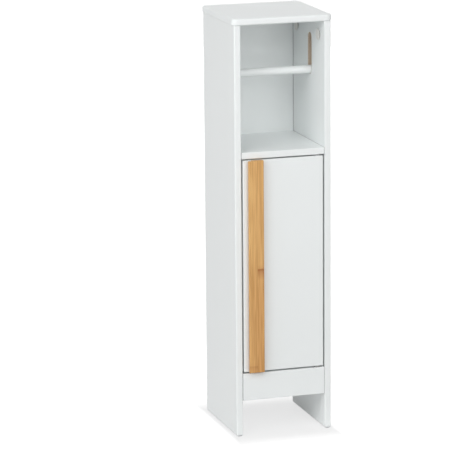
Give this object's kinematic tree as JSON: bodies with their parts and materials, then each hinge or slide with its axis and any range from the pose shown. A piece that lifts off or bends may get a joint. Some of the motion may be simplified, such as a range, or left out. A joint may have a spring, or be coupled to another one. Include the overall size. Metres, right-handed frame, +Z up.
{
  "type": "toilet paper holder cabinet",
  "caption": "Slim free-standing bathroom cabinet: an open niche with a lift-out paper rod under a top shelf, above a small cupboard with a hinged door and a bamboo strip handle.",
  "frame": {"origin": "middle of the footprint, handle included, on the floor", "axes": "+Z up, the front with the door faces -Y, +X to the right seen from the front"},
  "size_m": [0.185, 0.194, 0.755],
  "materials": {
    "white_lacquer": "satin lacquer on fibreboard",
    "bamboo": "clear satin oil",
    "steel": "bright zinc plated",
    "zinc": "die cast, matt",
    "nylon": "matt",
    "beech": "raw, fluted",
    "ferrite": "matt sintered",
    "white_plastic": "satin"
  },
  "bodies": {
    "carcass": {"side_panel_left": "white_lacquer", "side_panel_right": "white_lacquer", "top_panel": "white_lacquer", "middle_shelf": "white_lacquer", "bottom_panel": "white_lacquer", "plinth_board": "white_lacquer", "back_panel": "white_lacquer", "pivot_bushes": "nylon", "top_cam_locks": "zinc", "top_cam_bolts": "steel", "cam_caps": "white_plastic", "top_dowels": "beech", "shelf_cam_locks": "zinc", "shelf_cam_bolts": "steel", "shelf_dowels": "beech", "floor_cam_locks": "zinc", "floor_cam_bolts": "steel", "floor_dowels": "beech", "back_cam_locks": "zinc", "back_cam_bolts": "steel", "back_dowels": "beech", "plinth_dowels": "beech", "catch_housing": "white_plastic", "catch_magnet": "ferrite", "catch_pole_plates": "steel", "catch_screws": "steel"},
    "door": {"door_panel": "white_lacquer", "door_handle": "bamboo", "handle_screws": "steel", "pivot_pins": "steel", "pivot_washer": "nylon", "strike_plate": "steel", "strike_screw": "steel"},
    "paper_rod": {"paper_rod": "white_lacquer"}
  },
  "joints": [
    {"name": "door_swing", "type": "hinge", "parent": "carcass", "child": "door", "pos_m": [0.0645, -0.081, 0.31], "axis": [0, 0, 1], "range_deg": [0, 125]},
    {"name": "rod_lift", "type": "slide", "parent": "carcass", "child": "paper_rod", "axis": [0, 0, 1], "range_m": [0, 0.0585]}
  ]
}
